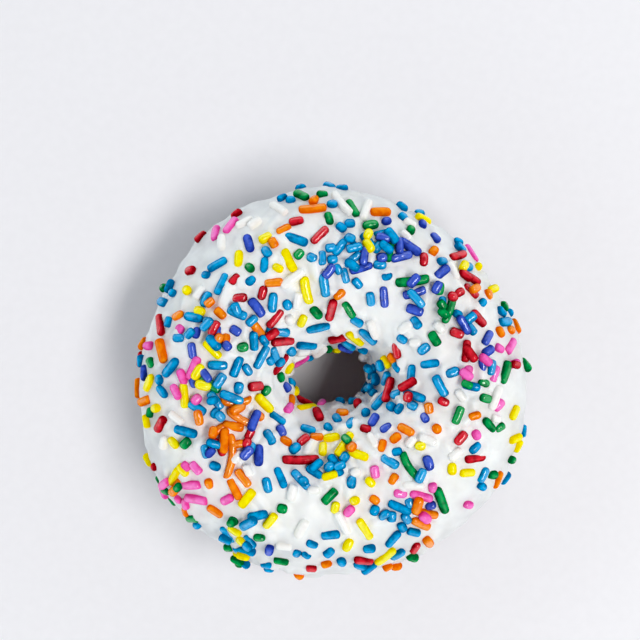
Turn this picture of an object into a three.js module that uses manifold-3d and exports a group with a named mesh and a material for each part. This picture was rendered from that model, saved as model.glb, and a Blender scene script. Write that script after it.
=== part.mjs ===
// A frosted ring doughnut with sugar sprinkles. Millimetres, +Z up, origin on the table under its middle.
//
// There are two solids. The cake ring is a plump, slightly uneven ring with a flat base. The icing is a
// thick cap that drapes over the ring to below its widest level, inside and out, and has the sprinkles
// fused to it.
//
// Every place on the ring has two angles: `around` turns about +Z from +X, and `over` turns about the
// ring's own core, from 0 at the outside, over the top at 90 degrees, to 180 in the hole and 270
// underneath.

import * as THREE from "three";
import { mergeVertices } from "three/addons/utils/BufferGeometryUtils.js";
import Module from "manifold-3d";

const wasm = await Module();
wasm.setup();

const TURN = 2 * Math.PI;
const radians = THREE.MathUtils.degToRad;

// --- Driving dimensions --------------------------------------------------------------------------

// The iced outline's radius every 30 degrees from +X.
const ICED_RADII = [40.4, 39.2, 39.3, 40.4, 40.7, 40.0, 40.3, 41.6, 41.4, 40.5, 40.6, 40.9];
const HOLE_HALF_LENGTH = 8.5; // of the iced hole, a rounded oblong
const HOLE_HALF_WIDTH = 5.8;
const HOLE_SQUARENESS = 3; // 2 is an ellipse
const HOLE_TURN = radians(10);
const HOLE_CENTRE = [-0.3, 1];
const ICED_HEIGHT = 29.5;
const WAIST_HEIGHT = 13.5; // the level where the ring is widest
const CROWN_WAVE = 0.5; // how far the crown's height wanders round the ring
const PLUMPNESS = 0.93; // power on sine and cosine: below 1 the section fills out towards a square
const BASE_SINK = 1.3; // how far the round section would reach below the table, were its base not flat

const ICING = 1.9; // thickness
const ICING_LUMP = 0.3; // how far the thickness wanders
const ICING_GAP = 0.35; // clearance between the icing and the ring
const ICING_BEAD = 2.2; // length of the round bead at the icing's edge
const OUTER_EDGE = 18; // how far below the waist the icing reaches outside, in degrees
const INNER_EDGE = 12; // the same in the hole
const EDGE_WAVE = 5; // degrees

const STEPS_AROUND = 48; // facets round the ring, the same for both solids so that their facets lie parallel

const SPRINKLE_RADIUS = 1;
const LONGEST_SPRINKLE = 5.4; // of the scattered ones
const SHORTEST_SPRINKLE = 2.2;
const SCATTERED_SPRINKLES = 410;
const FUSED_LENGTH = 3.6; // sprinkles at least this long are part of the icing's solid
const SPRINKLE_LIFT = 0.45; // height of a sprinkle's axis over the icing
const SPRINKLE_DIP = 0.4; // how deep a sprinkle's end may dip below its middle
const FREE_CLEARANCE = 1.75; // least distance between the axes of sprinkles side by side
const STACKED_CLEARANCE = 1.3; // the same where one lies on another
const FARTHEST_PAST_WAIST = 0.4; // how far past the waist a sprinkle may aim, to lie just below it
const INWARD_BIAS = 1.35; // above 1, fewer sprinkles land near the outline
const PILE_SHARE = 0.36; // share of the scattered sprinkles that fall on the thick patches

// Thick patches, where sprinkles lie on one another, and bare ones, where few do.
const PILES = [
  { x: 4, y: 27, reach: 7 },
  { x: 9.5, y: 28.5, reach: 7 },
  { x: 22.5, y: 16, reach: 8 },
  { x: 30.5, y: 3.5, reach: 6 },
  { x: 12, y: -2, reach: 6 },
  { x: 17, y: -25, reach: 8 },
  { x: 0, y: -17.5, reach: 7 },
  { x: -18, y: -34, reach: 7 },
  { x: -30.5, y: -20.5, reach: 6 },
  { x: -21, y: -9, reach: 7 },
  { x: -25, y: 0, reach: 8 },
  { x: -23, y: 9, reach: 8 },
  { x: -14, y: 9, reach: 6 },
];
const BARE_PATCHES = [
  { x: 10, y: 14, reach: 7 },
  { x: 28, y: -28, reach: 11 },
  { x: -7, y: -28, reach: 8 },
];

// The longest sprinkles: place in plan, heading in degrees, and length.
const LONG_SPRINKLES = [
  { x: -21.1, y: -14.3, heading: 84, length: 9.2 },
  { x: -6.4, y: -15.1, heading: 3, length: 7.6 },
  { x: -5.8, y: -5.1, heading: 90, length: 5.2 },
  { x: 15.9, y: 20.8, heading: 8, length: 7 },
  { x: 16.3, y: 18.3, heading: 16, length: 4.8 },
  { x: 23.2, y: 15.1, heading: 70, length: 6.4 },
  { x: 3.9, y: 35.1, heading: -76, length: 5 },
  { x: -11, y: 35.3, heading: -54, length: 5.2 },
  { x: 1.8, y: 36.2, heading: -72, length: 7.2 },
  { x: -4.1, y: 35.1, heading: 4, length: 5.8 },
  { x: -23.6, y: 30.3, heading: -66, length: 4.6 },
  { x: -20.6, y: 31.8, heading: 82, length: 4.4 },
  { x: -16.9, y: 28.2, heading: -70, length: 4.2 },
  { x: -8.7, y: 24.8, heading: -64, length: 5.2 },
  { x: -5.1, y: 18.7, heading: -78, length: 5.8 },
  { x: -36.4, y: -24.2, heading: -74, length: 7.6 },
  { x: -28.6, y: -20.4, heading: 12, length: 4.8 },
  { x: -27.6, y: -23.4, heading: 8, length: 5.4 },
  { x: 28.5, y: -14.9, heading: 2, length: 4.7 },
  { x: 21.8, y: -23.3, heading: -66, length: 6.3 },
  { x: 18.6, y: -25.8, heading: -20, length: 5.8 },
  { x: 17.8, y: -22.4, heading: -18, length: 5 },
  { x: 15.8, y: -16.2, heading: -56, length: 6.6 },
  { x: 2.4, y: -12.2, heading: 62, length: 5.8 },
  { x: 10.6, y: -34.9, heading: 64, length: 5.8 },
  { x: 15.9, y: 1.3, heading: 84, length: 5 },
  { x: -19.4, y: -2.9, heading: 2, length: 6.4 },
  { x: -18.2, y: -6.6, heading: -28, length: 7 },
  { x: -40.4, y: 4.4, heading: 80, length: 3.6 },
  { x: -40.4, y: -1.7, heading: 64, length: 4.4 },
];

// --- The ring's shape ----------------------------------------------------------------------------

/** A smooth closed curve through evenly spaced values, at a share of a turn given in radians. */
function throughValues(values, around) {
  const count = values.length;
  const place = ((around / TURN) * count + count) % count;
  const first = Math.floor(place);
  const t = place - first;
  const at = (offset) => values[(first + offset + count) % count];
  const slopeHere = (at(1) - at(-1)) / 2;
  const slopeNext = (at(2) - at(0)) / 2;
  const rise = at(1) - at(0);
  const bend = 3 * rise - 2 * slopeHere - slopeNext;
  return at(0) + t * slopeHere + t ** 2 * bend + t ** 3 * (slopeHere + slopeNext - 2 * rise);
}

/** The iced hole's radius from the ring's middle. */
function holeRadius(around) {
  const turned = around - HOLE_TURN;
  const lengthShare = Math.abs(Math.cos(turned) / HOLE_HALF_LENGTH) ** HOLE_SQUARENESS;
  const widthShare = Math.abs(Math.sin(turned) / HOLE_HALF_WIDTH) ** HOLE_SQUARENESS;
  const oblong = (lengthShare + widthShare) ** (-1 / HOLE_SQUARENESS);
  return oblong + HOLE_CENTRE[0] * Math.cos(around) + HOLE_CENTRE[1] * Math.sin(around);
}

/** The iced section at one place round the ring: its core's radius and half its width. */
function section(around) {
  const outer = throughValues(ICED_RADII, around);
  const inner = holeRadius(around);
  return { core: (outer + inner) / 2, halfWidth: (outer - inner) / 2 };
}

const plump = (value) => Math.sign(value) * Math.abs(value) ** PLUMPNESS;

/** A point of the bare cake ring. */
function cakePoint(around, over) {
  const { core, halfWidth } = section(around);
  const coat = ICING + ICING_GAP;
  const wave = 0.6 * Math.cos(2 * around + 1) + 0.4 * Math.cos(3 * around + 2);
  const crown = ICED_HEIGHT - coat + CROWN_WAVE * wave;
  const reach = Math.sin(over) > 0 ? crown - WAIST_HEIGHT : WAIST_HEIGHT + BASE_SINK;
  const radius = core + (halfWidth - coat) * plump(Math.cos(over));
  const height = Math.max(0, WAIST_HEIGHT + reach * plump(Math.sin(over)));
  return new THREE.Vector3(radius * Math.cos(around), radius * Math.sin(around), height);
}

/** The outward normal of a surface that takes (around, over). */
function normalOf(surface, around, over) {
  const step = 0.01;
  const alongRing = surface(around + step, over).sub(surface(around - step, over));
  const acrossRing = surface(around, over + step).sub(surface(around, over - step));
  return alongRing.cross(acrossRing).normalize();
}

/** The icing's slow lumps, from -1 to 1. */
function lumps(around, over) {
  const broad = 0.5 * Math.cos(5 * around + 1.3) * Math.cos(2 * over + 0.4);
  const middling = 0.3 * Math.cos(9 * around - 2.1 + over);
  return broad + middling + 0.2 * Math.cos(3 * around + 4 * over);
}

/** A point of the icing's outer skin, `share` of its thickness out from the inner one. */
function icingPoint(around, over, share = 1) {
  const out = ICING_GAP + share * (ICING + ICING_LUMP * lumps(around, over));
  return cakePoint(around, over).addScaledVector(normalOf(cakePoint, around, over), out);
}

/** The icing's edge, as `over` angles outside and in the hole. */
function icingEdges(around) {
  const broad = 0.5 * Math.cos(4 * around + 0.8) + 0.3 * Math.cos(7 * around + 2.6);
  const wave = broad + 0.2 * Math.cos(11 * around + 4);
  const drip = Math.max(0, wave) ** 2;
  const innerWave = 0.6 * Math.cos(2 * around + 2) + 0.4 * Math.cos(5 * around);
  return {
    outer: -radians(OUTER_EDGE + EDGE_WAVE * wave + 2 * EDGE_WAVE * drip),
    inner: Math.PI + radians(INNER_EDGE + EDGE_WAVE * innerWave),
  };
}

// --- Solids --------------------------------------------------------------------------------------

/** A closed surface through closed loops of points, one loop for each step round the ring. */
function geometryOfLoops(loops) {
  const size = loops[0].length;
  const positions = loops.flat().flatMap((point) => point.toArray());
  const corner = (loop, place) => (loop % loops.length) * size + (place % size);
  const index = [];
  loops.forEach((_, loop) => {
    for (let place = 0; place < size; place++) {
      const here = corner(loop, place);
      const ahead = corner(loop + 1, place);
      const aheadOver = corner(loop + 1, place + 1);
      index.push(here, ahead, aheadOver, here, aheadOver, corner(loop, place + 1));
    }
  });
  return new THREE.BufferGeometry()
    .setAttribute("position", new THREE.Float32BufferAttribute(positions, 3))
    .setIndex(index);
}

/** Evenly spaced steps from 0 up to, but not including, 1. */
const steps = (count) => Array.from({ length: count }, (_, step) => step / count);

function cakeRing() {
  const overSteps = 24;
  const loops = steps(STEPS_AROUND).map((around) =>
    steps(overSteps).map((over) => cakePoint(TURN * around, TURN * over)),
  );
  return geometryOfLoops(loops);
}

/** One section of the icing: its outer skin from edge to edge, then its inner skin back. */
function icingLoop(around) {
  const outerSteps = 12;
  const innerSteps = 14;
  const edges = icingEdges(around);
  const bead = ICING_BEAD / section(around).halfWidth;
  const span = edges.inner - edges.outer;
  const thicknessShare = (over) => {
    const fromEdge = Math.min(over - edges.outer, edges.inner - over);
    return Math.sqrt(1 - (1 - Math.min(1, fromEdge / bead)) ** 2);
  };
  const outerSkin = [edges.outer, edges.outer + 0.15 * bead];
  for (const share of steps(outerSteps)) {
    outerSkin.push(edges.outer + 0.6 * bead + share * (span - 1.2 * bead));
  }
  outerSkin.push(edges.inner - 0.6 * bead, edges.inner - 0.15 * bead, edges.inner);
  const innerSkin = steps(innerSteps)
    .slice(1)
    .map((share) => edges.inner - share * span);
  return [
    ...outerSkin.map((over) => icingPoint(around, over, thicknessShare(over))),
    ...innerSkin.map((over) => icingPoint(around, over, 0)),
  ];
}

function icingCap() {
  return geometryOfLoops(steps(STEPS_AROUND).map((around) => icingLoop(TURN * around)));
}

/** A closed geometry as a solid that can be joined to others. */
function solidOf(geometry) {
  geometry.deleteAttribute("normal");
  geometry.deleteAttribute("uv");
  const merged = mergeVertices(geometry);
  return new wasm.Manifold(
    new wasm.Mesh({
      numProp: 3,
      vertProperties: merged.attributes.position.array,
      triVerts: new Uint32Array(merged.index.array),
    }),
  );
}

function geometryOf(solid) {
  const mesh = solid.getMesh();
  return new THREE.BufferGeometry()
    .setAttribute("position", new THREE.BufferAttribute(mesh.vertProperties, 3))
    .setIndex(new THREE.BufferAttribute(mesh.triVerts, 1));
}

// --- Sprinkles -----------------------------------------------------------------------------------

/** A repeatable stream of numbers from 0 to 1. */
function drawer(seed) {
  let state = seed;
  return () => {
    state = (state * 48271) % 2147483647;
    return state / 2147483647;
  };
}

/** The `over` angle at a distance from the ring's middle in plan: past the waist, it is a little below it. */
function overAtDistance(around, distance) {
  const { core, halfWidth } = section(around);
  const across = (distance - core) / halfWidth;
  const clamped = THREE.MathUtils.clamp(across, -1, 1);
  return Math.acos(Math.sign(clamped) * Math.abs(clamped) ** (1 / PLUMPNESS)) - Math.max(0, across - 1);
}

/** A sprinkle at a place in plan. Its axis is turned from its aim to lie along the icing, then tilted. */
function lay(x, y, aim, length, tilt = 0) {
  const around = Math.atan2(y, x);
  const over = overAtDistance(around, Math.hypot(x, y));
  const normal = normalOf(icingPoint, around, over);
  const axis = aim.clone().addScaledVector(normal, -aim.dot(normal)).normalize();
  axis.multiplyScalar(Math.cos(tilt)).addScaledVector(normal, Math.sin(tilt));
  return { middle: icingPoint(around, over).addScaledVector(normal, SPRINKLE_LIFT), axis, normal, length };
}

/** The least distance between points spread along the axes of a sprinkle and of those laid already. */
function clearanceTo(laid, sprinkle) {
  const beads = ({ middle, axis, length }) => {
    const halfCore = length / 2 - SPRINKLE_RADIUS;
    return [-1, -0.5, 0, 0.5, 1].map((share) => middle.clone().addScaledVector(axis, share * halfCore));
  };
  const reach = (other) => (other.length + sprinkle.length) / 2;
  const near = laid.filter((other) => other.middle.distanceTo(sprinkle.middle) < reach(other));
  const own = beads(sprinkle);
  const gaps = near.flatMap(beads).flatMap((bead) => own.map((point) => point.distanceTo(bead)));
  return Math.min(Infinity, ...gaps);
}

/** A random place in plan: round the middle of a thick patch, or anywhere on the doughnut. */
function dropPlace(draw, onPile) {
  const around = TURN * draw();
  const least = holeRadius(around) ** 2;
  const most = throughValues(ICED_RADII, around) ** 2;
  const distance = Math.sqrt(least + draw() ** INWARD_BIAS * (most - least));
  const pile = PILES[Math.floor(PILES.length * draw())];
  const spread = pile.reach * draw();
  return onPile
    ? { x: pile.x + spread * Math.cos(around), y: pile.y + spread * Math.sin(around) }
    : { x: distance * Math.cos(around), y: distance * Math.sin(around) };
}

/** Whether a dropped sprinkle misses the icing, or lands in a bare patch, less likely near its rim. */
function isLost(draw, x, y) {
  const farthest = throughValues(ICED_RADII, Math.atan2(y, x)) + FARTHEST_PAST_WAIST;
  const share = Math.sqrt(draw());
  const bare = BARE_PATCHES.some((patch) => Math.hypot(x - patch.x, y - patch.y) < patch.reach * share);
  return bare || Math.hypot(x, y) > farthest;
}

/** The long sprinkles in their own places, then the scattered ones, longest first. */
function layOutSprinkles() {
  const draw = drawer(172);
  const laid = LONG_SPRINKLES.map(({ x, y, heading, length }) => {
    const aim = new THREE.Vector3(Math.cos(radians(heading)), Math.sin(radians(heading)), 0);
    return lay(x, y, aim, length);
  });
  for (const share of steps(SCATTERED_SPRINKLES)) {
    const length = SHORTEST_SPRINKLE + (LONGEST_SPRINKLE - SHORTEST_SPRINKLE) * (1 - share) ** 2;
    const onPile = draw() < PILE_SHARE;
    for (let attempt = 0; attempt < 8; attempt++) {
      const { x, y } = dropPlace(draw, onPile);
      const aim = new THREE.Vector3(draw() - 0.5, draw() - 0.5, draw() - 0.5);
      const tilt = Math.asin(SPRINKLE_DIP / (length / 2)) * (2 * draw() - 1);
      if (isLost(draw, x, y)) continue;
      const sprinkle = lay(x, y, aim, length, tilt);
      const clearance = clearanceTo(laid, sprinkle);
      if (onPile && clearance < STACKED_CLEARANCE) {
        const rise = Math.sqrt(STACKED_CLEARANCE ** 2 - clearance ** 2);
        sprinkle.middle.addScaledVector(sprinkle.normal, rise);
      }
      if (clearance > FREE_CLEARANCE || (onPile && clearanceTo(laid, sprinkle) > 0.9 * STACKED_CLEARANCE)) {
        laid.push(sprinkle);
        break;
      }
    }
  }
  return laid;
}

/** A five-sided rod with blunt points, of 20 triangles, laid where a sprinkle lies. */
function sprinkleSolid({ middle, axis, length, normal }) {
  const shoulder = length / 2 - 0.45 * SPRINKLE_RADIUS;
  const profile = [
    [0, -length / 2],
    [SPRINKLE_RADIUS, -shoulder],
    [SPRINKLE_RADIUS, shoulder],
    [0, length / 2],
  ].map(([radius, height]) => new THREE.Vector2(radius, height));
  const side = axis.clone().cross(normal).normalize();
  const up = side.clone().cross(axis);
  const place = new THREE.Matrix4().makeBasis(side, axis, up).setPosition(middle);
  return solidOf(new THREE.LatheGeometry(profile, 5, Math.PI / 5).applyMatrix4(place));
}

function icingWithSprinkles() {
  let icing = solidOf(icingCap());
  for (const sprinkle of layOutSprinkles().filter(({ length }) => length >= FUSED_LENGTH)) {
    icing = icing.add(sprinkleSolid(sprinkle));
  }
  return geometryOf(icing);
}

// --- The doughnut --------------------------------------------------------------------------------

function named(name, geometry, colour, roughness) {
  const material = new THREE.MeshStandardMaterial({ color: colour, roughness, metalness: 0 });
  const mesh = new THREE.Mesh(geometry, material);
  mesh.name = name;
  return mesh;
}

const doughnut = new THREE.Group();
doughnut.add(named("cake_ring", cakeRing(), "#3a2016", 0.85));
doughnut.add(named("icing", icingWithSprinkles(), "#f3f1ec", 0.45));

export default doughnut;
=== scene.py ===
"""The looks of a frosted ring doughnut: chocolate cake, white sugar icing and coloured sugar sprinkles.

Shapes are worked out in millimetres, with +Z up and the origin on the table under the middle of the ring,
and every mesh is scaled to metres once, at the end. Every place on the ring has two angles: `around` turns
about +Z from +X, and `over` turns about the ring's own core, from 0 at the outside, over the top, to a half
turn in the hole.
"""

import math

import bmesh
import bpy
from mathutils import Matrix, Vector, noise
from mathutils.kdtree import KDTree


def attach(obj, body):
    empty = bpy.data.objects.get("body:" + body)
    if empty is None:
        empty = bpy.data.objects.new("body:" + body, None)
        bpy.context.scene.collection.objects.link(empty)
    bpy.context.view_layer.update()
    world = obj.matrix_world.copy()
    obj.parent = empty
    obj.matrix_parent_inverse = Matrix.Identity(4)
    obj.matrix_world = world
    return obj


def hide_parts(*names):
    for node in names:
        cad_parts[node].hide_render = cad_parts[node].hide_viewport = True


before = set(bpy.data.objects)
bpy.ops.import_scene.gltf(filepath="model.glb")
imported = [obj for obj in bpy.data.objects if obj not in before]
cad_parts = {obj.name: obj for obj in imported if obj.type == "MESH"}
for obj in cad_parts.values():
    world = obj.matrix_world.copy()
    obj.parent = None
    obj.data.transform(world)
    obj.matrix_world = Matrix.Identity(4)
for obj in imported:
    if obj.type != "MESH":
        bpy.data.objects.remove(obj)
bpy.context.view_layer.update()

TURN = 2 * math.pi
MILLIMETRE = 0.001  # in metres

# --- The ring's dimensions ------------------------------------------------------------------------

# The iced outline's radii in plan, every 30 degrees from +X.
ICED_RADII = [40.4, 39.2, 39.3, 40.4, 40.7, 40.0, 40.3, 41.6, 41.4, 40.5, 40.6, 40.9]
HOLE_HALF_LENGTH = 8.5  # of the iced hole, a rounded oblong
HOLE_HALF_WIDTH = 5.8
HOLE_SQUARENESS = 3  # 2 is an ellipse
HOLE_TURN = math.radians(10)
HOLE_CENTRE = (-0.3, 1)
ICED_HEIGHT = 29.5
WAIST_HEIGHT = 13.5  # the level where the ring is widest
CROWN_WAVE = 0.5  # how far the crown's height wanders round the ring
PLUMPNESS = 0.93  # power on sine and cosine: below 1 the section fills out towards a square
BASE_SINK = 1.3  # how far the round section would reach below the table, were its base not flat

ICING = 1.9  # thickness
ICING_LUMP = 0.3  # how far the thickness wanders
ICING_GAP = 0.35  # clearance between the icing and the ring
ICING_BEAD = 2.2  # length of the round bead at the icing's edge
OUTER_EDGE = 18  # how far below the waist the icing reaches outside, in degrees
INNER_EDGE = 12  # the same in the hole
EDGE_WAVE = 5  # degrees

# --- The sprinkles' dimensions --------------------------------------------------------------------

SPRINKLE_RADIUS = 1
LONGEST_SPRINKLE = 5.4  # of the scattered ones
SHORTEST_SPRINKLE = 2.2
SCATTERED_SPRINKLES = 410
SCATTER_SEED = 172
SPRINKLE_LIFT = 0.45  # height of a sprinkle's axis over the icing
SPRINKLE_DIP = 0.4  # how deep a sprinkle's end may dip below its middle
FREE_CLEARANCE = 1.75  # least distance between the axes of sprinkles side by side
STACKED_CLEARANCE = 1.3  # the same where one lies on another
STACKED_SQUEEZE = 0.9  # share of that clearance that is enough for a sprinkle that was raised
DROP_TRIES = 8  # how often a sprinkle is dropped before it is left out
FARTHEST_PAST_WAIST = 0.4  # how far past the waist a sprinkle may aim, to lie just below it
INWARD_BIAS = 1.35  # above 1, fewer sprinkles land near the outline
PILE_SHARE = 0.36  # share of the scattered sprinkles that fall on the thick patches

LATE_SPRINKLES = 75  # short ones dropped last, too small for the solids
LATE_SPREAD = 1.3  # how much longer than the shortest they get
LATE_SEED = 59

BURIED_SPRINKLES = 280  # sank into the icing before it set
SHORTEST_BURIED = 2.5
BURIED_SPREAD = 3.5  # how much longer than that they get
BURIED_PILE_SHARE = 0.3  # share of them that lie in the thick patches
BURIED_SEED = 91
LEAST_SWELL = 0.5  # height of the icing's swelling over a buried sprinkle
SWELL_SPREAD = 0.6  # how much higher than that it gets
HALF_SUNK_DEPTH = 0.75  # how much deeper a half-sunk sprinkle lies than one on top of the icing
HALF_SUNK_CLEARANCE = 1.1 * STACKED_CLEARANCE
HALF_SUNK_MARGIN = 3  # least distance between its middle and the rim

# Thick patches, where sprinkles lie on one another: place in plan, reach, and the colours that gather there.
PILES = [
    (4, 27, 7, ["sky", "indigo", "sky"]),
    (9.5, 28.5, 7, ["sky", "indigo", "green"]),
    (22.5, 16, 8, ["green", "sky", "indigo", "red"]),
    (30.5, 3.5, 6, ["pink", "green", "indigo", "red"]),
    (12, -2, 6, ["sky", "sky", "red"]),
    (17, -25, 8, ["orange", "pink", "sky"]),
    (0, -17.5, 7, ["sky", "yellow", "sky"]),
    (-18, -34, 7, ["sky", "green", "yellow"]),
    (-30.5, -20.5, 6, ["orange", "pink", "yellow", "green"]),
    (-21, -9, 7, ["orange", "red", "orange", "sky"]),
    (-25, 0, 8, ["sky", "indigo", "yellow", "pink"]),
    (-23, 9, 8, ["sky", "orange", "green", "indigo"]),
    (-14, 9, 6, ["sky", "indigo", "sky", "red"]),
]

# Patches that few sprinkles fall on: place in plan and reach.
BARE_PATCHES = [(10, 14, 7), (28, -28, 11), (-7, -28, 8)]

# The sprinkles with a place of their own: place in plan, heading in degrees, length, bow and colour.
LONG_SPRINKLES = [
    (-21.1, -14.3, 84, 9.2, 1.2, "orange"),
    (-6.4, -15.1, 3, 7.6, 0.3, "red"),
    (-5.8, -5.1, 90, 5.2, 0, "red"),
    (15.9, 20.8, 8, 7, 0.1, "green"),
    (16.3, 18.3, 16, 4.8, 0, "indigo"),
    (23.2, 15.1, 70, 6.4, 0.2, "green"),
    (3.9, 35.1, -76, 5, 0, "green"),
    (-11, 35.3, -54, 5.2, 0, "white"),
    (1.8, 36.2, -72, 7.2, 0.2, "white"),
    (-4.1, 35.1, 4, 5.8, 0.1, "orange"),
    (-23.6, 30.3, -66, 4.6, 0.1, "pink"),
    (-20.6, 31.8, 82, 4.4, 0, "pink"),
    (-16.9, 28.2, -70, 4.2, 0, "indigo"),
    (-8.7, 24.8, -64, 5.2, 0.1, "yellow"),
    (-5.1, 18.7, -78, 5.8, 0.3, "yellow"),
    (-36.4, -24.2, -74, 7.6, 0.1, "green"),
    (-28.6, -20.4, 12, 4.8, 0, "pink"),
    (-27.6, -23.4, 8, 5.4, 0, "pink"),
    (28.5, -14.9, 2, 4.7, 0, "red"),
    (21.8, -23.3, -66, 6.3, 0, "green"),
    (18.6, -25.8, -20, 5.8, 0.1, "orange"),
    (17.8, -22.4, -18, 5, 0, "pink"),
    (15.8, -16.2, -56, 6.6, 0.9, "green"),
    (2.4, -12.2, 62, 5.8, 0.1, "yellow"),
    (10.6, -34.9, 64, 5.8, 0.2, "yellow"),
    (15.9, 1.3, 84, 5, 0, "sky"),
    (-19.4, -2.9, 2, 6.4, 1.3, "orange"),
    (-18.2, -6.6, -28, 7, 0.6, "orange"),
    (-40.4, 4.4, 80, 3.6, 0, "red"),
    (-40.4, -1.7, 64, 4.4, 0.3, "orange"),
]

# How common each colour is among the sprinkles outside the thick patches.
COMMONNESS = {
    "sky": 38, "orange": 14, "yellow": 12, "green": 9, "red": 13, "indigo": 7, "pink": 5, "white": 2,
}
COLOUR_SEED = 4152
PILE_COLOUR_SHARE = 0.75  # how often a sprinkle in a thick patch has one of that patch's colours

# --- The ring's shape, as the solids have it ------------------------------------------------------


def through_values(values, around):
    """A smooth closed curve through evenly spaced values."""
    count = len(values)
    place = around / TURN * count % count
    first = int(place)
    t = place - first
    before, here, ahead, beyond = (values[(first + offset) % count] for offset in (-1, 0, 1, 2))
    slope_here = (ahead - before) / 2
    slope_next = (beyond - here) / 2
    rise = ahead - here
    bend = 3 * rise - 2 * slope_here - slope_next
    return here + t * slope_here + t**2 * bend + t**3 * (slope_here + slope_next - 2 * rise)


def hole_radius(around):
    """The iced hole's reach from the origin: an oblong of its own, moved to its centre."""
    turned = around - HOLE_TURN
    length_share = abs(math.cos(turned) / HOLE_HALF_LENGTH) ** HOLE_SQUARENESS
    width_share = abs(math.sin(turned) / HOLE_HALF_WIDTH) ** HOLE_SQUARENESS
    oblong = (length_share + width_share) ** (-1 / HOLE_SQUARENESS)
    return oblong + HOLE_CENTRE[0] * math.cos(around) + HOLE_CENTRE[1] * math.sin(around)


def section(around):
    """The iced section at one place round the ring: its core's radius and half its width."""
    outer = through_values(ICED_RADII, around)
    inner = hole_radius(around)
    return (outer + inner) / 2, (outer - inner) / 2


def plump(value):
    """A sine or cosine, pushed outwards to fill the section."""
    return math.copysign(abs(value) ** PLUMPNESS, value)


def cake_point(around, over):
    """A point of the cake's skin."""
    core, half_width = section(around)
    coat = ICING + ICING_GAP
    wave = 0.6 * math.cos(2 * around + 1) + 0.4 * math.cos(3 * around + 2)
    crown = ICED_HEIGHT - coat + CROWN_WAVE * wave
    reach = crown - WAIST_HEIGHT if math.sin(over) > 0 else WAIST_HEIGHT + BASE_SINK
    radius = core + (half_width - coat) * plump(math.cos(over))
    height = max(0, WAIST_HEIGHT + reach * plump(math.sin(over)))
    return Vector((radius * math.cos(around), radius * math.sin(around), height))


def normal_of(surface, around, over):
    """The outward normal of a surface that takes (around, over)."""
    step = 0.01
    along_ring = surface(around + step, over) - surface(around - step, over)
    across_ring = surface(around, over + step) - surface(around, over - step)
    return along_ring.cross(across_ring).normalized()


def icing_point(around, over, share=1):
    """A point of the icing's outer skin, or `share` of its thickness out from its inner one."""
    lumps = (
        0.5 * math.cos(5 * around + 1.3) * math.cos(2 * over + 0.4)
        + 0.3 * math.cos(9 * around - 2.1 + over)
        + 0.2 * math.cos(3 * around + 4 * over)
    )
    out = ICING_GAP + share * (ICING + ICING_LUMP * lumps)
    return cake_point(around, over) + normal_of(cake_point, around, over) * out


def icing_edges(around):
    """The icing's edge, as `over` angles outside and in the hole."""
    wave = (
        0.5 * math.cos(4 * around + 0.8)
        + 0.3 * math.cos(7 * around + 2.6)
        + 0.2 * math.cos(11 * around + 4)
    )
    drip = max(0, wave) ** 2
    inner_wave = 0.6 * math.cos(2 * around + 2) + 0.4 * math.cos(5 * around)
    outer = -math.radians(OUTER_EDGE + EDGE_WAVE * wave + 2 * EDGE_WAVE * drip)
    return outer, math.pi + math.radians(INNER_EDGE + EDGE_WAVE * inner_wave)


# --- Where the sprinkles lie, by the rule that the solids follow ----------------------------------

STREAM_PRIME = 2147483647
STREAM_MULTIPLIER = 48271


def drawer(seed):
    """A repeatable stream of numbers from 0 to 1."""
    state = seed

    def draw():
        nonlocal state
        state = state * STREAM_MULTIPLIER % STREAM_PRIME
        return state / STREAM_PRIME

    return draw


def over_at_distance(around, distance):
    """The `over` angle at a distance from the origin in plan: past the waist, it is a little below it."""
    core, half_width = section(around)
    across = (distance - core) / half_width
    clamped = max(-1, min(1, across))
    return math.acos(math.copysign(abs(clamped) ** (1 / PLUMPNESS), clamped)) - max(0, across - 1)


class Sprinkle:
    """A rod of sugar at a place in plan, its axis turned from its aim to lie along the icing, then tilted."""

    def __init__(self, x, y, aim, length, tilt=0, bow=0, colour=None):
        around = math.atan2(y, x)
        over = over_at_distance(around, math.hypot(x, y))
        self.normal = normal_of(icing_point, around, over)
        along = (aim - self.normal * aim.dot(self.normal)).normalized()
        self.axis = along * math.cos(tilt) + self.normal * math.sin(tilt)
        self.middle = icing_point(around, over) + self.normal * SPRINKLE_LIFT
        self.length = length
        self.bow = bow
        self.colour = colour

    def half_core(self):
        """Half the length of the axis, without the round ends."""
        return self.length / 2 - SPRINKLE_RADIUS

    def beads(self):
        """Points spread along the axis, for telling whether two sprinkles touch."""
        return [self.middle + self.axis * share * self.half_core() for share in (-1, -0.5, 0, 0.5, 1)]


def clearance_to(laid, sprinkle):
    """The least distance between the axes of a sprinkle and of those that are laid."""
    own = sprinkle.beads()
    closest = math.inf
    for other in laid:
        if (other.middle - sprinkle.middle).length < (other.length + sprinkle.length) / 2:
            closest = min(closest, min((bead - point).length for bead in other.beads() for point in own))
    return closest


def drop_place(draw, on_pile):
    """A random place in plan: round the middle of a thick patch, or anywhere on the doughnut."""
    around = TURN * draw()
    least = hole_radius(around) ** 2
    most = through_values(ICED_RADII, around) ** 2
    distance = math.sqrt(least + draw() ** INWARD_BIAS * (most - least))
    pile_x, pile_y, reach, _ = PILES[int(len(PILES) * draw())]
    spread = reach * draw()
    if on_pile:
        return pile_x + spread * math.cos(around), pile_y + spread * math.sin(around)
    return distance * math.cos(around), distance * math.sin(around)


def random_aim(draw):
    return Vector((draw() - 0.5, draw() - 0.5, draw() - 0.5))


def is_lost(draw, x, y):
    """Whether a dropped sprinkle misses the icing, or falls on a bare patch, less likely near its rim."""
    farthest = through_values(ICED_RADII, math.atan2(y, x)) + FARTHEST_PAST_WAIST
    share = math.sqrt(draw())
    bare = any(
        math.hypot(x - bare_x, y - bare_y) < reach * share for bare_x, bare_y, reach in BARE_PATCHES
    )
    return bare or math.hypot(x, y) > farthest


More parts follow.
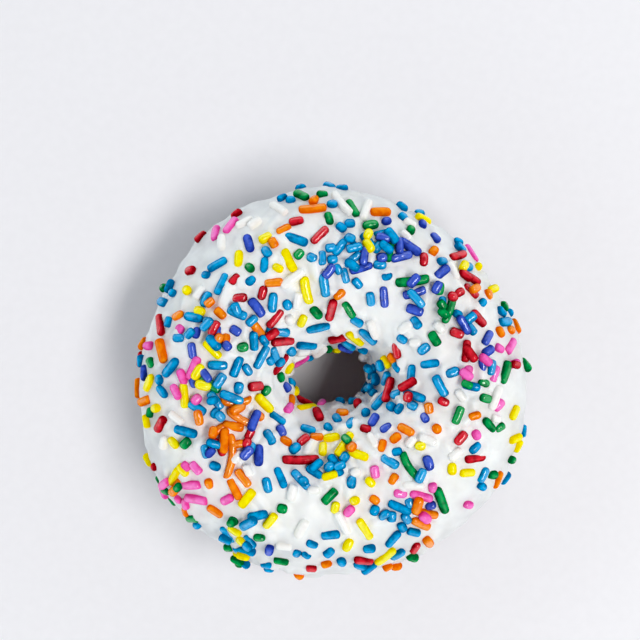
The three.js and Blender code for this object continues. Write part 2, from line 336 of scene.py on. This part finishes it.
def drop_sprinkle(draw, laid, length):
    """Drops a sprinkle until it lands clear of the others, or on top of them in a thick patch."""
    on_pile = draw() < PILE_SHARE
    for _ in range(DROP_TRIES):
        x, y = drop_place(draw, on_pile)
        aim = random_aim(draw)
        tilt = math.asin(SPRINKLE_DIP / (length / 2)) * (2 * draw() - 1)
        if is_lost(draw, x, y):
            continue
        sprinkle = Sprinkle(x, y, aim, length, tilt)
        clearance = clearance_to(laid, sprinkle)
        is_free = clearance > FREE_CLEARANCE
        if on_pile and clearance < STACKED_CLEARANCE:
            sprinkle.middle += sprinkle.normal * math.sqrt(STACKED_CLEARANCE**2 - clearance**2)
        if is_free or (on_pile and clearance_to(laid, sprinkle) > STACKED_SQUEEZE * STACKED_CLEARANCE):
            laid.append(sprinkle)
            return


def lay_out_sprinkles():
    """Those with a place of their own, then the scattered ones, longest first, then a last short few."""
    draw = drawer(SCATTER_SEED)
    laid = []
    for x, y, heading, length, bow, colour in LONG_SPRINKLES:
        aim = Vector((math.cos(math.radians(heading)), math.sin(math.radians(heading)), 0))
        laid.append(Sprinkle(x, y, aim, length, bow=bow, colour=colour))
    for number in range(SCATTERED_SPRINKLES):
        remaining = 1 - number / SCATTERED_SPRINKLES
        length = SHORTEST_SPRINKLE + (LONGEST_SPRINKLE - SHORTEST_SPRINKLE) * remaining**2
        drop_sprinkle(draw, laid, length)
    late_draw = drawer(LATE_SEED)
    for _ in range(LATE_SPRINKLES):
        drop_sprinkle(late_draw, laid, SHORTEST_SPRINKLE + LATE_SPREAD * late_draw())
    return laid


def bury_sprinkles():
    """Sprinkles that sank into the icing, which swells over them: each with how far it swells."""
    draw = drawer(BURIED_SEED)
    buried = []
    for _ in range(BURIED_SPRINKLES):
        x, y = drop_place(draw, draw() < BURIED_PILE_SHARE)
        aim = random_aim(draw)
        length = SHORTEST_BURIED + BURIED_SPREAD * draw()
        swell = LEAST_SWELL + SWELL_SPREAD * draw()
        buried.append((Sprinkle(x, y, aim, length, colour="white"), swell))
    return buried


def half_sunk(buried, laid):
    """Sets the buried sprinkles to their depth in their swellings, and finds those whose backs show."""
    showing = []
    for sprinkle, swell in buried:
        sprinkle.middle += sprinkle.normal * (swell - HALF_SUNK_DEPTH)
        rim = through_values(ICED_RADII, math.atan2(sprinkle.middle.y, sprinkle.middle.x))
        if rim - sprinkle.middle.xy.length <= HALF_SUNK_MARGIN:
            continue
        if clearance_to(laid + showing, sprinkle) > HALF_SUNK_CLEARANCE:
            showing.append(sprinkle)
    return showing


def common_colour(pick):
    """The colour at a pick from 0 to 1, where each colour takes up as much as it is common."""
    total = 0
    for colour, commonness in COMMONNESS.items():
        total += commonness / sum(COMMONNESS.values())
        if pick <= total:
            break
    return colour


def colour_sprinkles(sprinkles):
    """Colours the scattered sprinkles: as the thick patch they lie in, or any by how common it is."""
    draw = drawer(COLOUR_SEED)
    for sprinkle in sprinkles:
        if sprinkle.colour:
            continue
        x, y, _ = sprinkle.middle
        gathered = [
            colours for pile_x, pile_y, reach, colours in PILES
            if math.hypot(x - pile_x, y - pile_y) < reach
        ]
        pick = draw()
        if gathered and draw() < PILE_COLOUR_SHARE:
            sprinkle.colour = gathered[0][int(pick * len(gathered[0]))]
        else:
            sprinkle.colour = common_colour(pick)


# --- Turning shapes into pieces -------------------------------------------------------------------


def piece_from(bm, name, material, node):
    """A finished piece in metres that rides with the doughnut and stands for a node of the solids."""
    bmesh.ops.recalc_face_normals(bm, faces=bm.faces)
    bmesh.ops.scale(bm, vec=(MILLIMETRE, MILLIMETRE, MILLIMETRE), verts=bm.verts)
    for face in bm.faces:
        face.smooth = True
    mesh = bpy.data.meshes.new(name)
    bm.to_mesh(mesh)
    bm.free()
    mesh.materials.append(material)
    piece = bpy.data.objects.new(name, mesh)
    bpy.context.collection.objects.link(piece)
    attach(piece, "root")
    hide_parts(node)
    return piece


def ring_mesh(steps_around, steps_over):
    """A plain ring, and for each vertex its turn round the ring and its step round the section."""
    core = 3  # the plain ring's, whose circle has a radius of 1: only the steps are kept of it
    bm = bmesh.new()
    bmesh.ops.create_circle(bm, segments=steps_over, radius=1)
    stand = Matrix.Translation((core, 0, 0)) @ Matrix.Rotation(math.radians(90), 4, "X")
    bmesh.ops.transform(bm, matrix=stand, verts=bm.verts)
    bmesh.ops.spin(
        bm, geom=bm.verts[:] + bm.edges[:], cent=(0, 0, 0), axis=(0, 0, 1),
        angle=TURN, steps=steps_around, use_merge=True,
    )
    places = []
    for vert in bm.verts:
        around = math.atan2(vert.co.y, vert.co.x)
        over = math.atan2(vert.co.z, math.hypot(vert.co.x, vert.co.y) - core)
        places.append((vert, around, round(over / TURN * steps_over) % steps_over))
    return bm, places


def ripple(point, size, seed):
    """Smooth noise from -1 to 1 with lumps of about `size` millimetres."""
    return noise.noise(point / size + Vector((seed, seed, seed)))


def ripples_at(point, ripples):
    """The height of several ripples together, each given as its height, size and seed."""
    return sum(height * ripple(point, size, seed) for height, size, seed in ripples)


# --- Cake -----------------------------------------------------------------------------------------

CAKE_STEPS_AROUND = 300
CAKE_STEPS_OVER = 120
CAKE_RIPPLES = [(0.3, 6, 0), (0.16, 2.2, 5), (0.1, 0.9, 9)]  # folds, wrinkles and crumb
CRATER_SIZE = 3.1
CRATER_DEPTH = 0.35
CRATER_FROM = 0.35  # noise below this makes no crater
CRATER_SEED = 20
FULL_RELIEF_HEIGHT = 2  # the relief grows in from the flat base up to here
HIGHEST_CRUMB = 0.2  # keeps the cake clear of its icing


def make_cake(material):
    bm, places = ring_mesh(CAKE_STEPS_AROUND, CAKE_STEPS_OVER)
    for vert, around, step in places:
        vert.co = cake_point(around, TURN * step / CAKE_STEPS_OVER)
    bm.normal_update()
    rises = []
    for vert in bm.verts:
        crater = CRATER_DEPTH * max(0, ripple(vert.co, CRATER_SIZE, CRATER_SEED) - CRATER_FROM)
        above_base = min(1, vert.co.z / FULL_RELIEF_HEIGHT)
        rises.append(min(HIGHEST_CRUMB, above_base * (ripples_at(vert.co, CAKE_RIPPLES) - crater)))
    for vert, rise in zip(bm.verts, rises):
        vert.co += vert.normal * rise
    piece_from(bm, "chocolate_cake", material, "cake_ring")


# --- Icing ----------------------------------------------------------------------------------------

ICING_STEPS_AROUND = 400
BEAD_STEPS = 8
TOP_STEPS = 136
UNDER_STEPS = 32
SKIN_STEPS = 2 * BEAD_STEPS + TOP_STEPS  # the outer skin's, from edge to edge
ICING_RIPPLES = [(0.4, 8, 0), (0.42, 3.2, 4), (0.08, 1.3, 8)]
RAG_HEIGHT = 0.65  # how ragged the icing is in the hole
RAG_SIZE = 2.4
RAG_SEED = 15
BURIED_REACH = 1.1  # how far from its axis a buried sprinkle's swelling reaches
CREEP = 0.42  # how high the icing creeps up a sprinkle that lies on it
CREEP_REACH = 1.6
SWELL_SEARCH = 4.5  # a sprinkle moves the icing up to this far from its middle


def icing_skin_point(around, step):
    """A point of the icing's loop: up its outer bead, over the top, down its inner bead, back underneath."""
    outer, inner = icing_edges(around)
    bead = ICING_BEAD / section(around)[1]
    if step < BEAD_STEPS:
        swing = TURN / 4 * step / BEAD_STEPS
        return icing_point(around, outer + bead * (1 - math.cos(swing)), math.sin(swing))
    if step < BEAD_STEPS + TOP_STEPS:
        share = (step - BEAD_STEPS) / TOP_STEPS
        return icing_point(around, outer + bead + share * (inner - outer - 2 * bead))
    if step < SKIN_STEPS:
        swing = TURN / 4 * (SKIN_STEPS - step) / BEAD_STEPS
        return icing_point(around, inner - bead * (1 - math.cos(swing)), math.sin(swing))
    share = (step - SKIN_STEPS) / UNDER_STEPS
    return icing_point(around, inner - share * (inner - outer), 0)


def distance_to_axis(point, sprinkle):
    """How far a point is from a sprinkle's axis."""
    half_axis = sprinkle.axis * sprinkle.half_core()
    share = (point - sprinkle.middle).dot(half_axis) / half_axis.length_squared
    return (point - sprinkle.middle - half_axis * max(-1, min(1, share))).length


def make_icing(sprinkles, buried, material):
    """The icing: it swells over the sprinkles that sank in and creeps up the sides of those on top."""
    bm, places = ring_mesh(ICING_STEPS_AROUND, SKIN_STEPS + UNDER_STEPS)
    steps = {}
    for vert, around, step in places:
        vert.co = icing_skin_point(around, step)
        steps[vert] = step
    bm.normal_update()

    swellings = [(sprinkle, swell, BURIED_REACH) for sprinkle, swell in buried]
    swellings += [(sprinkle, CREEP, CREEP_REACH) for sprinkle in sprinkles]
    tree = KDTree(len(swellings))
    for number, (sprinkle, _, _) in enumerate(swellings):
        tree.insert(sprinkle.middle, number)
    tree.balance()

    moves = []
    for vert in bm.verts:
        step = steps[vert]
        if step > SKIN_STEPS:
            continue
        fade = min(1, min(step, SKIN_STEPS - step) / (2 * BEAD_STEPS))
        rise = ripples_at(vert.co, ICING_RIPPLES)
        # In the hole the icing is ragged, most of all on the +X side.
        outward = vert.co.xy.normalized()
        inward = max(0, -vert.normal.xy.dot(outward))
        rise += RAG_HEIGHT * (1 + outward.x) * inward**4 * ripple(vert.co, RAG_SIZE, RAG_SEED)
        swell = 0
        for _, number, _ in tree.find_range(vert.co, SWELL_SEARCH):
            sprinkle, height, reach = swellings[number]
            away = distance_to_axis(vert.co, sprinkle) / reach
            swell = max(swell, height * math.exp(-(away**3)))
        moves.append((vert, vert.normal * fade * (rise + swell)))
    for vert, move in moves:
        vert.co += move
    piece_from(bm, "icing_cap", material, "icing")


# --- Sprinkles ------------------------------------------------------------------------------------

SHAPE_SEED = 77
ROD_SIDES = 8
ROD_END = 0.6  # how far the worn end of the rod that is copied reaches past its barrel
THINNEST = 0.92  # share of a sprinkle's radius
THICKNESS_SPREAD = 0.2  # how much thicker than that they get
BLUNTEST_END = 0.75  # stretch of the rod's end
END_SPREAD = 0.8  # how much rounder than that it gets
LOOSE_BOW = 0.12  # most that a sprinkle bows by chance, as a share of a quarter of its length
WEAR = 0.09  # how uneven a sprinkle's thickness is, as a share
WEAR_SIZE = 1.1  # in the radii of the rod that is copied
WEAR_SEEDS = 50  # how far the patterns of wear are spread
LIT_TOP_AND_WAX_SPREAD = 0.3  # how much farther down some sprinkles' painted lit top and their wax reach than others'


def unit_rod():
    """A rod of radius 1 whose barrel runs from -1 to 1, with worn ends beyond that, as a mesh to copy."""
    upper = [(1, 1), (0.88, 1.32), (0.55, 1.54), (0, 1 + ROD_END)]
    lower = [(radius, -height) for radius, height in reversed(upper)]
    bm = bmesh.new()
    verts = [bm.verts.new((radius, 0, height)) for radius, height in lower + [(1, 0)] + upper]
    edges = [bm.edges.new(pair) for pair in zip(verts, verts[1:])]
    bmesh.ops.spin(
        bm, geom=verts + edges, cent=(0, 0, 0), axis=(0, 0, 1), angle=TURN, steps=ROD_SIDES, use_merge=True
    )
    bmesh.ops.remove_doubles(bm, verts=bm.verts, dist=0.001)
    mesh = bpy.data.meshes.new("unit_rod")
    bm.to_mesh(mesh)
    bm.free()
    return mesh


def add_sprinkle(bm, rod, sprinkle, draw):
    """Adds one rod: stretched to its length, its ends blunt or round, bowed a little, and laid in place."""
    radius = SPRINKLE_RADIUS * (THINNEST + THICKNESS_SPREAD * draw())
    end = radius * (BLUNTEST_END + END_SPREAD * draw())
    half_barrel = sprinkle.length / 2 - ROD_END * end
    bow = sprinkle.bow + LOOSE_BOW * draw() * sprinkle.length / 4
    across = sprinkle.axis.cross(sprinkle.normal).normalized()
    up = across.cross(sprinkle.axis)
    turn = Matrix.Rotation(TURN * draw(), 3, sprinkle.axis)
    side = turn @ across if sprinkle.bow == 0 else across
    seed = WEAR_SEEDS * draw()
    lit_top_and_wax_shift = LIT_TOP_AND_WAX_SPREAD * (draw() - 0.5)
    height = bm.verts.layers.float["height"]
    start = len(bm.verts)
    bm.from_mesh(rod)
    bm.verts.ensure_lookup_table()
    for vert in bm.verts[start:]:
        # The shifted height sets where the painted shade turns into the painted lit top, and where the wax
        # ends.
        vert[height] = vert.co.y + lit_top_and_wax_shift
        wear = 1 + WEAR * ripple(vert.co, WEAR_SIZE, seed)
        beyond = max(0, abs(vert.co.z) - 1)
        along = math.copysign(min(1, abs(vert.co.z)) * half_barrel + beyond * end, vert.co.z)
        bend = bow * (1 - (2 * along / sprinkle.length) ** 2)
        vert.co = (
            sprinkle.middle
            + sprinkle.axis * along
            + across * vert.co.x * radius * wear
            + up * vert.co.y * radius * wear
            + side * bend
        )


def make_sprinkles(sprinkles, materials):
    """One piece for each colour. A vertex keeps its `height` on its rod, from about -1 below to 1 on top."""
    rod = unit_rod()
    draw = drawer(SHAPE_SEED)
    meshes = {colour: bmesh.new() for colour in materials}
    for bm in meshes.values():
        bm.verts.layers.float.new("height")
    for sprinkle in sprinkles:
        add_sprinkle(meshes[sprinkle.colour], rod, sprinkle, draw)
    bpy.data.meshes.remove(rod)
    for colour, bm in meshes.items():
        piece = piece_from(bm, f"sprinkles_{colour}", materials[colour], "icing")
        rounding = piece.modifiers.new("rounding", "SUBSURF")
        rounding.levels = rounding.render_levels = 1


# --- Materials ------------------------------------------------------------------------------------

# Each glazed sprinkle's colour low down on its sides, darkened as painted shade, and on top, lightened as a
# painted highlight.
SPRINKLE_COLOURS = {
    "sky": ("#00689f", "#00a8e8"),
    "indigo": ("#1a3194", "#3f60d6"),
    "green": ("#005f2c", "#00a452"),
    "yellow": ("#f4d800", "#fff600"),
    "orange": ("#e86400", "#ff9410"),
    "red": ("#8c000c", "#e02234"),
    "pink": ("#e8409f", "#ff74ce"),
    "white": ("#f6f5f2", "#fefefc"),
}


def linear(hex_colour):
    """An sRGB hex colour as the linear colour that shaders take."""
    parts = [int(hex_colour[place : place + 2], 16) / 255 for place in (1, 3, 5)]
    return [part / 12.92 if part <= 0.04045 else ((part + 0.055) / 1.055) ** 2.4 for part in parts] + [1]


def add_node(tree, kind, values=None, links=None, stops=(), **properties):
    """Adds a node: values and links go to its sockets, stops to its colour ramp, and properties are its own.

    A stop is a position and an sRGB hex colour. A pattern's scale is in lumps to the metre: 1000 gives 1 mm.
    """
    node = tree.nodes.new(kind)
    for name, value in properties.items():
        setattr(node, name, value)
    for socket, value in (values or {}).items():
        node.inputs[socket].default_value = value
    for socket, source in (links or {}).items():
        tree.links.new(source, node.inputs[socket])
    for number, (position, hex_colour) in enumerate(stops):
        elements = node.color_ramp.elements
        stop = elements[number] if number < len(elements) else elements.new(position)
        stop.position = position
        stop.color = linear(hex_colour)
    return node


def new_material(name):
    """An empty material, its node tree, and the places on a piece that its patterns are drawn at."""
    material = bpy.data.materials.new(name)
    material.use_nodes = True
    tree = material.node_tree
    tree.nodes.clear()
    return material, tree, add_node(tree, "ShaderNodeTexCoord").outputs["Object"]


def fried_chocolate_cake():
    """Fried chocolate cake: a dark, dry crust with a fine open crumb, so it is matt, mottled and pitted."""
    material, tree, place = new_material("fried_chocolate_cake")
    # The crust browns in patches of about 5 mm.
    patches = add_node(tree, "ShaderNodeTexNoise", {"Scale": 200, "Detail": 4}, {"Vector": place})
    crust = add_node(
        tree, "ShaderNodeValToRGB", links={"Fac": patches.outputs["Fac"]},
        stops=[(0.3, "#2c1a13"), (0.7, "#523426")],
    )
    # The crumb has pores of about 0.7 mm between grains of about 0.3 mm, and is 0.25 mm deep.
    pores = add_node(tree, "ShaderNodeTexVoronoi", {"Scale": 1400}, {"Vector": place})
    grains = add_node(tree, "ShaderNodeTexNoise", {"Scale": 3000, "Detail": 3}, {"Vector": place})
    crumb = add_node(
        tree, "ShaderNodeMath",
        links={0: pores.outputs["Distance"], 1: grains.outputs["Fac"]}, operation="ADD",
    )
    skin = add_node(
        tree, "ShaderNodeBump", {"Strength": 0.5, "Distance": 0.00025}, {"Height": crumb.outputs["Value"]}
    )
    shader = add_node(
        tree, "ShaderNodeBsdfPrincipled",
        {"Roughness": 0.75, "IOR": 1.45},
        {"Base Color": crust.outputs["Color"], "Normal": skin.outputs["Normal"]},
    )
    add_node(tree, "ShaderNodeOutputMaterial", links={"Surface": shader.outputs["BSDF"]})
    return material


def poured_sugar_icing():
    """Poured sugar icing: dense and white with a soft satin skin, and light sinks a little way in."""
    material, tree, place = new_material("poured_sugar_icing")
    # The icing is painted greyer towards the rim, from 31 mm to 39.5 mm out from the middle, as painted
    # shade.
    flat = add_node(tree, "ShaderNodeVectorMath", {1: (1, 1, 0)}, {0: place}, operation="MULTIPLY")
    out = add_node(tree, "ShaderNodeVectorMath", links={0: flat.outputs["Vector"]}, operation="LENGTH")
    painted_rim_shade = add_node(
        tree, "ShaderNodeMapRange",
        {"From Min": 0.0395, "From Max": 0.031, "To Max": 0.45}, {"Value": out.outputs["Value"]},
    )
    # Fat and sugar part a little as it sets, in clouds of about 6 mm.
    clouds = add_node(tree, "ShaderNodeTexNoise", {"Scale": 160, "Detail": 3}, {"Vector": place})
    clouds_and_rim_shade = add_node(
        tree, "ShaderNodeMath",
        links={0: painted_rim_shade.outputs["Result"], 1: clouds.outputs["Fac"]}, operation="ADD",
    )
    # Towards the rim the colour runs to the grey stop as painted shade, and the clouds shift it at random.
    sugar = add_node(
        tree, "ShaderNodeValToRGB", links={"Fac": clouds_and_rim_shade.outputs["Value"]},
        stops=[(0.3, "#d9dadc"), (1, "#fbffff")],
    )
    # The skin has a grain of about 0.7 mm, 0.2 mm deep.
    grain = add_node(tree, "ShaderNodeTexNoise", {"Scale": 1500, "Detail": 4}, {"Vector": place})
    skin = add_node(
        tree, "ShaderNodeBump", {"Strength": 0.25, "Distance": 0.0002}, {"Height": grain.outputs["Fac"]}
    )
    shader = add_node(
        tree, "ShaderNodeBsdfPrincipled",
        {
            "Roughness": 0.42, "IOR": 1.48,
            "Subsurface Weight": 0.25, "Subsurface Radius": (1, 0.9, 0.75), "Subsurface Scale": 0.0012,
        },
        {"Base Color": sugar.outputs["Color"], "Normal": skin.outputs["Normal"]},
    )
    add_node(tree, "ShaderNodeOutputMaterial", links={"Surface": shader.outputs["BSDF"]})
    return material


def glazed_sugar_rod(name, shaded_side_colour, lit_top_colour):
    """A pressed sugar rod glazed with wax: strong colour, painted darker on its sides as shade and lighter on
    top as a highlight, under a thin, slightly uneven gloss.
    """
    material, tree, place = new_material(name)
    # The colour is painted darker low down on the rod as shade and lighter on top as a highlight, and mottled
    # in steps of about 1.2 mm.
    height = add_node(tree, "ShaderNodeAttribute", attribute_name="height").outputs["Fac"]
    mottle = add_node(tree, "ShaderNodeTexNoise", {"Scale": 800, "Detail": 2}, {"Vector": place})
    level = add_node(
        tree, "ShaderNodeMath", {1: 0.5}, {0: height, 2: mottle.outputs["Fac"]}, operation="MULTIPLY_ADD"
    )
    dye_and_painted_shade = add_node(
        tree, "ShaderNodeValToRGB", links={"Fac": level.outputs["Value"]}, stops=[(0.62, shaded_side_colour), (1, lit_top_colour)]
    )
    # The pressed sugar has a grain of about 0.4 mm. The wax fills it, and stays lumpy in steps of about 1 mm.
    grain = add_node(tree, "ShaderNodeTexNoise", {"Scale": 2600, "Detail": 3}, {"Vector": place})
    sugar_skin = add_node(
        tree, "ShaderNodeBump", {"Strength": 0.25, "Distance": 0.00015}, {"Height": grain.outputs["Fac"]}
    )
    lumps = add_node(tree, "ShaderNodeTexNoise", {"Scale": 1000, "Detail": 1}, {"Vector": place})
    wax_skin = add_node(
        tree, "ShaderNodeBump", {"Strength": 0.4, "Distance": 0.0003}, {"Height": lumps.outputs["Fac"]}
    )
    # The wax is whole on top and gone lower down, where the icing was damp. Only the wax shines.
    wax = add_node(tree, "ShaderNodeMapRange", {"From Min": 0.76, "From Max": 0.95}, {"Value": height})
    shader = add_node(
        tree, "ShaderNodeBsdfPrincipled",
        {"Roughness": 0.5, "IOR": 1.45, "Specular IOR Level": 0, "Coat Roughness": 0.15, "Coat IOR": 1.8},
        {
            "Base Color": dye_and_painted_shade.outputs["Color"], "Normal": sugar_skin.outputs["Normal"],
            "Coat Weight": wax.outputs["Result"], "Coat Normal": wax_skin.outputs["Normal"],
        },
    )
    add_node(tree, "ShaderNodeOutputMaterial", links={"Surface": shader.outputs["BSDF"]})
    return material


def matt_white_laminate():
    """Matt white laminate: an even, faintly grained pale surface without a shine."""
    material, tree, place = new_material("matt_white_laminate")
    # Its grain is finer than shows, so it is drawn at about 2 mm and very faint.
    grain = add_node(tree, "ShaderNodeTexNoise", {"Scale": 500, "Detail": 2}, {"Vector": place})
    tone = add_node(
        tree, "ShaderNodeValToRGB", links={"Fac": grain.outputs["Fac"]},
        stops=[(0.3, "#f4f4f9"), (0.7, "#f6f6fb")],
    )
    skin = add_node(
        tree, "ShaderNodeBump", {"Strength": 0.1, "Distance": 0.00002}, {"Height": grain.outputs["Fac"]}
    )
    shader = add_node(
        tree, "ShaderNodeBsdfPrincipled",
        {"Roughness": 0.6}, {"Base Color": tone.outputs["Color"], "Normal": skin.outputs["Normal"]},
    )
    add_node(tree, "ShaderNodeOutputMaterial", links={"Surface": shader.outputs["BSDF"]})
    return material


# --- Stage, in metres -----------------------------------------------------------------------------

TABLE_REACH = 3  # from the middle to each side
TABLE_GAP = 0.0002  # the table lies this far under the base, so that the two faces don't meet
CAMERA_PLACE = (-0.0026, 0.0128, 0.332)


def soft_light(name, azimuth, elevation, distance, width, height, power, colour):
    """A lamp panel that faces the doughnut from a direction in degrees."""
    lamp = bpy.data.lights.new(name, "AREA")
    lamp.shape = "RECTANGLE"
    lamp.size = width
    lamp.size_y = height
    lamp.energy = power
    lamp.color = linear(colour)[:3]
    panel = bpy.data.objects.new(name, lamp)
    turn, rise = math.radians(azimuth), math.radians(elevation)
    towards = Vector((math.cos(rise) * math.cos(turn), math.cos(rise) * math.sin(turn), math.sin(rise)))
    panel.location = towards * distance
    panel.rotation_euler = towards.to_track_quat("Z", "Y").to_euler()
    bpy.context.collection.objects.link(panel)


def room_light():
    """Pale walls that glow all round, dim at the table's level, and a dark ceiling."""
    world = bpy.data.worlds.new("room_light")
    world.use_nodes = True
    tree = world.node_tree
    direction = add_node(tree, "ShaderNodeTexCoord").outputs["Generated"]
    height = add_node(tree, "ShaderNodeSeparateXYZ", links={"Vector": direction}).outputs["Z"]
    walls = add_node(
        tree, "ShaderNodeValToRGB", links={"Fac": height},
        stops=[(0.03, "#444849"), (0.24, "#e6f2f3"), (0.5, "#c9d2d5"), (0.72, "#33181e")],
    )
    # The walls glow about twice as strongly on the side away from the lamp.
    side = add_node(
        tree, "ShaderNodeVectorMath", {1: (-0.61, 0.26, 0)}, {0: direction}, operation="DOT_PRODUCT"
    )
    glow = add_node(tree, "ShaderNodeMath", {1: 1.83}, {0: side.outputs["Value"]}, operation="ADD")
    background = tree.nodes["Background"]
    tree.links.new(walls.outputs["Color"], background.inputs["Color"])
    tree.links.new(glow.outputs["Value"], background.inputs["Strength"])
    return world


def make_table():
    bm = bmesh.new()
    bmesh.ops.create_grid(bm, x_segments=1, y_segments=1, size=TABLE_REACH)
    bmesh.ops.translate(bm, vec=(0, 0, -TABLE_GAP), verts=bm.verts)
    mesh = bpy.data.meshes.new("table_top")
    bm.to_mesh(mesh)
    bm.free()
    mesh.materials.append(matt_white_laminate())
    table = bpy.data.objects.new("table_top", mesh)
    bpy.context.collection.objects.link(table)


def make_camera():
    """A camera straight above the doughnut."""
    lens = bpy.data.cameras.new("camera")
    lens.lens = 85
    lens.sensor_width = 36
    camera = bpy.data.objects.new("camera", lens)
    camera.location = CAMERA_PLACE
    bpy.context.collection.objects.link(camera)
    bpy.context.scene.camera = camera


# --- The doughnut on its stage --------------------------------------------------------------------

make_table()
make_camera()
soft_light(
    "strip_lamp", azimuth=-25, elevation=62, distance=1.6, width=1.2, height=0.4, power=16.2, colour="#fffcf8"
)
bpy.context.scene.world = room_light()
bpy.context.scene.view_settings.view_transform = "Standard"

sprinkles = lay_out_sprinkles()
colour_sprinkles(sprinkles)
buried = bury_sprinkles()
make_cake(fried_chocolate_cake())
make_icing(sprinkles, buried, poured_sugar_icing())
rod_materials = {
    colour: glazed_sugar_rod(f"glazed_sugar_{colour}", shaded_side_colour, lit_top_colour)
    for colour, (shaded_side_colour, lit_top_colour) in SPRINKLE_COLOURS.items()
}
make_sprinkles(sprinkles + half_sunk(buried, sprinkles), rod_materials)
